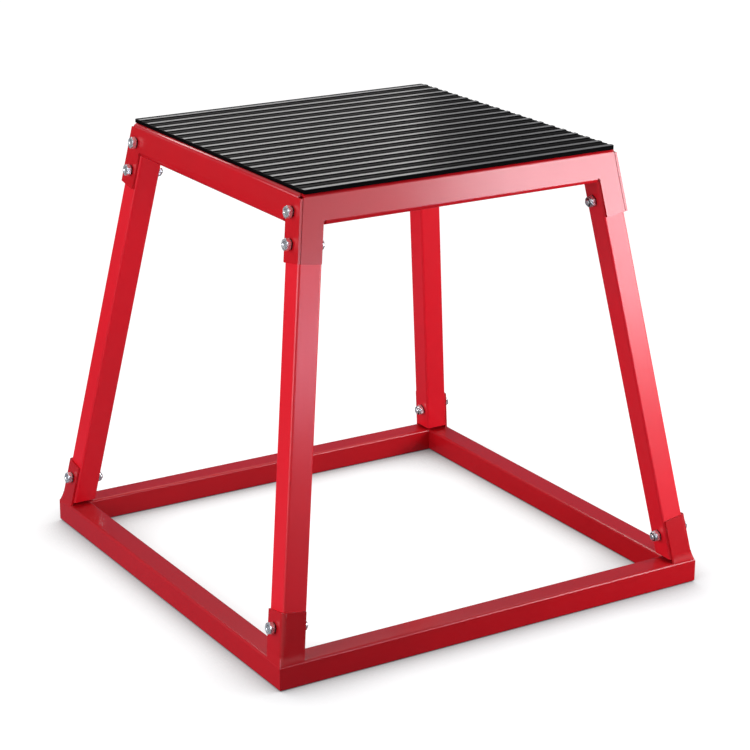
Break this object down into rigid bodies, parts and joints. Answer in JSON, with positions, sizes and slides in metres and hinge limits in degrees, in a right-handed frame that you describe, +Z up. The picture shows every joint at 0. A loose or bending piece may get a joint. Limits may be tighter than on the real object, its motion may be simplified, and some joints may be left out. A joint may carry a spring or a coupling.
{
  "type": "plyo box",
  "caption": "Open steel plyo box: a ribbed rubber mat on a folded top pan, splayed square-tube legs bolted to the pan and to corner brackets on a square base ring.",
  "frame": {"origin": "on the floor, at the middle of the square base ring", "axes": "+X to the right along the front, parallel to the mat's ribs; +Y from front to back; +Z up"},
  "size_m": [0.5862, 0.584, 0.541],
  "materials": {
    "mat_rubber": "moulded, matte lands with smoother rib crests",
    "red_paint": "gloss red powder coat",
    "zinc_plate": "bright zinc plating",
    "nylon_ring": "moulded black nylon"
  },
  "bodies": {
    "root": {"rubber_mat": "mat_rubber", "top_pan": "red_paint", "leg_front_left": "red_paint", "leg_front_right": "red_paint", "leg_back_left": "red_paint", "leg_back_right": "red_paint", "base_bracket_front_left": "red_paint", "base_bracket_front_right": "red_paint", "base_bracket_back_left": "red_paint", "base_bracket_back_right": "red_paint", "base_rail_front": "red_paint", "base_rail_right": "red_paint", "base_rail_back": "red_paint", "base_rail_left": "red_paint", "skirt_bolts": "zinc_plate", "ear_bolts": "zinc_plate", "base_bolts": "zinc_plate", "skirt_spring_washers": "zinc_plate", "ear_spring_washers": "zinc_plate", "base_spring_washers": "zinc_plate", "skirt_nuts": "zinc_plate", "ear_nuts": "zinc_plate", "base_nuts": "zinc_plate", "skirt_nut_inserts": "nylon_ring", "ear_nut_inserts": "nylon_ring", "base_nut_inserts": "nylon_ring"}
  },
  "joints": []
}
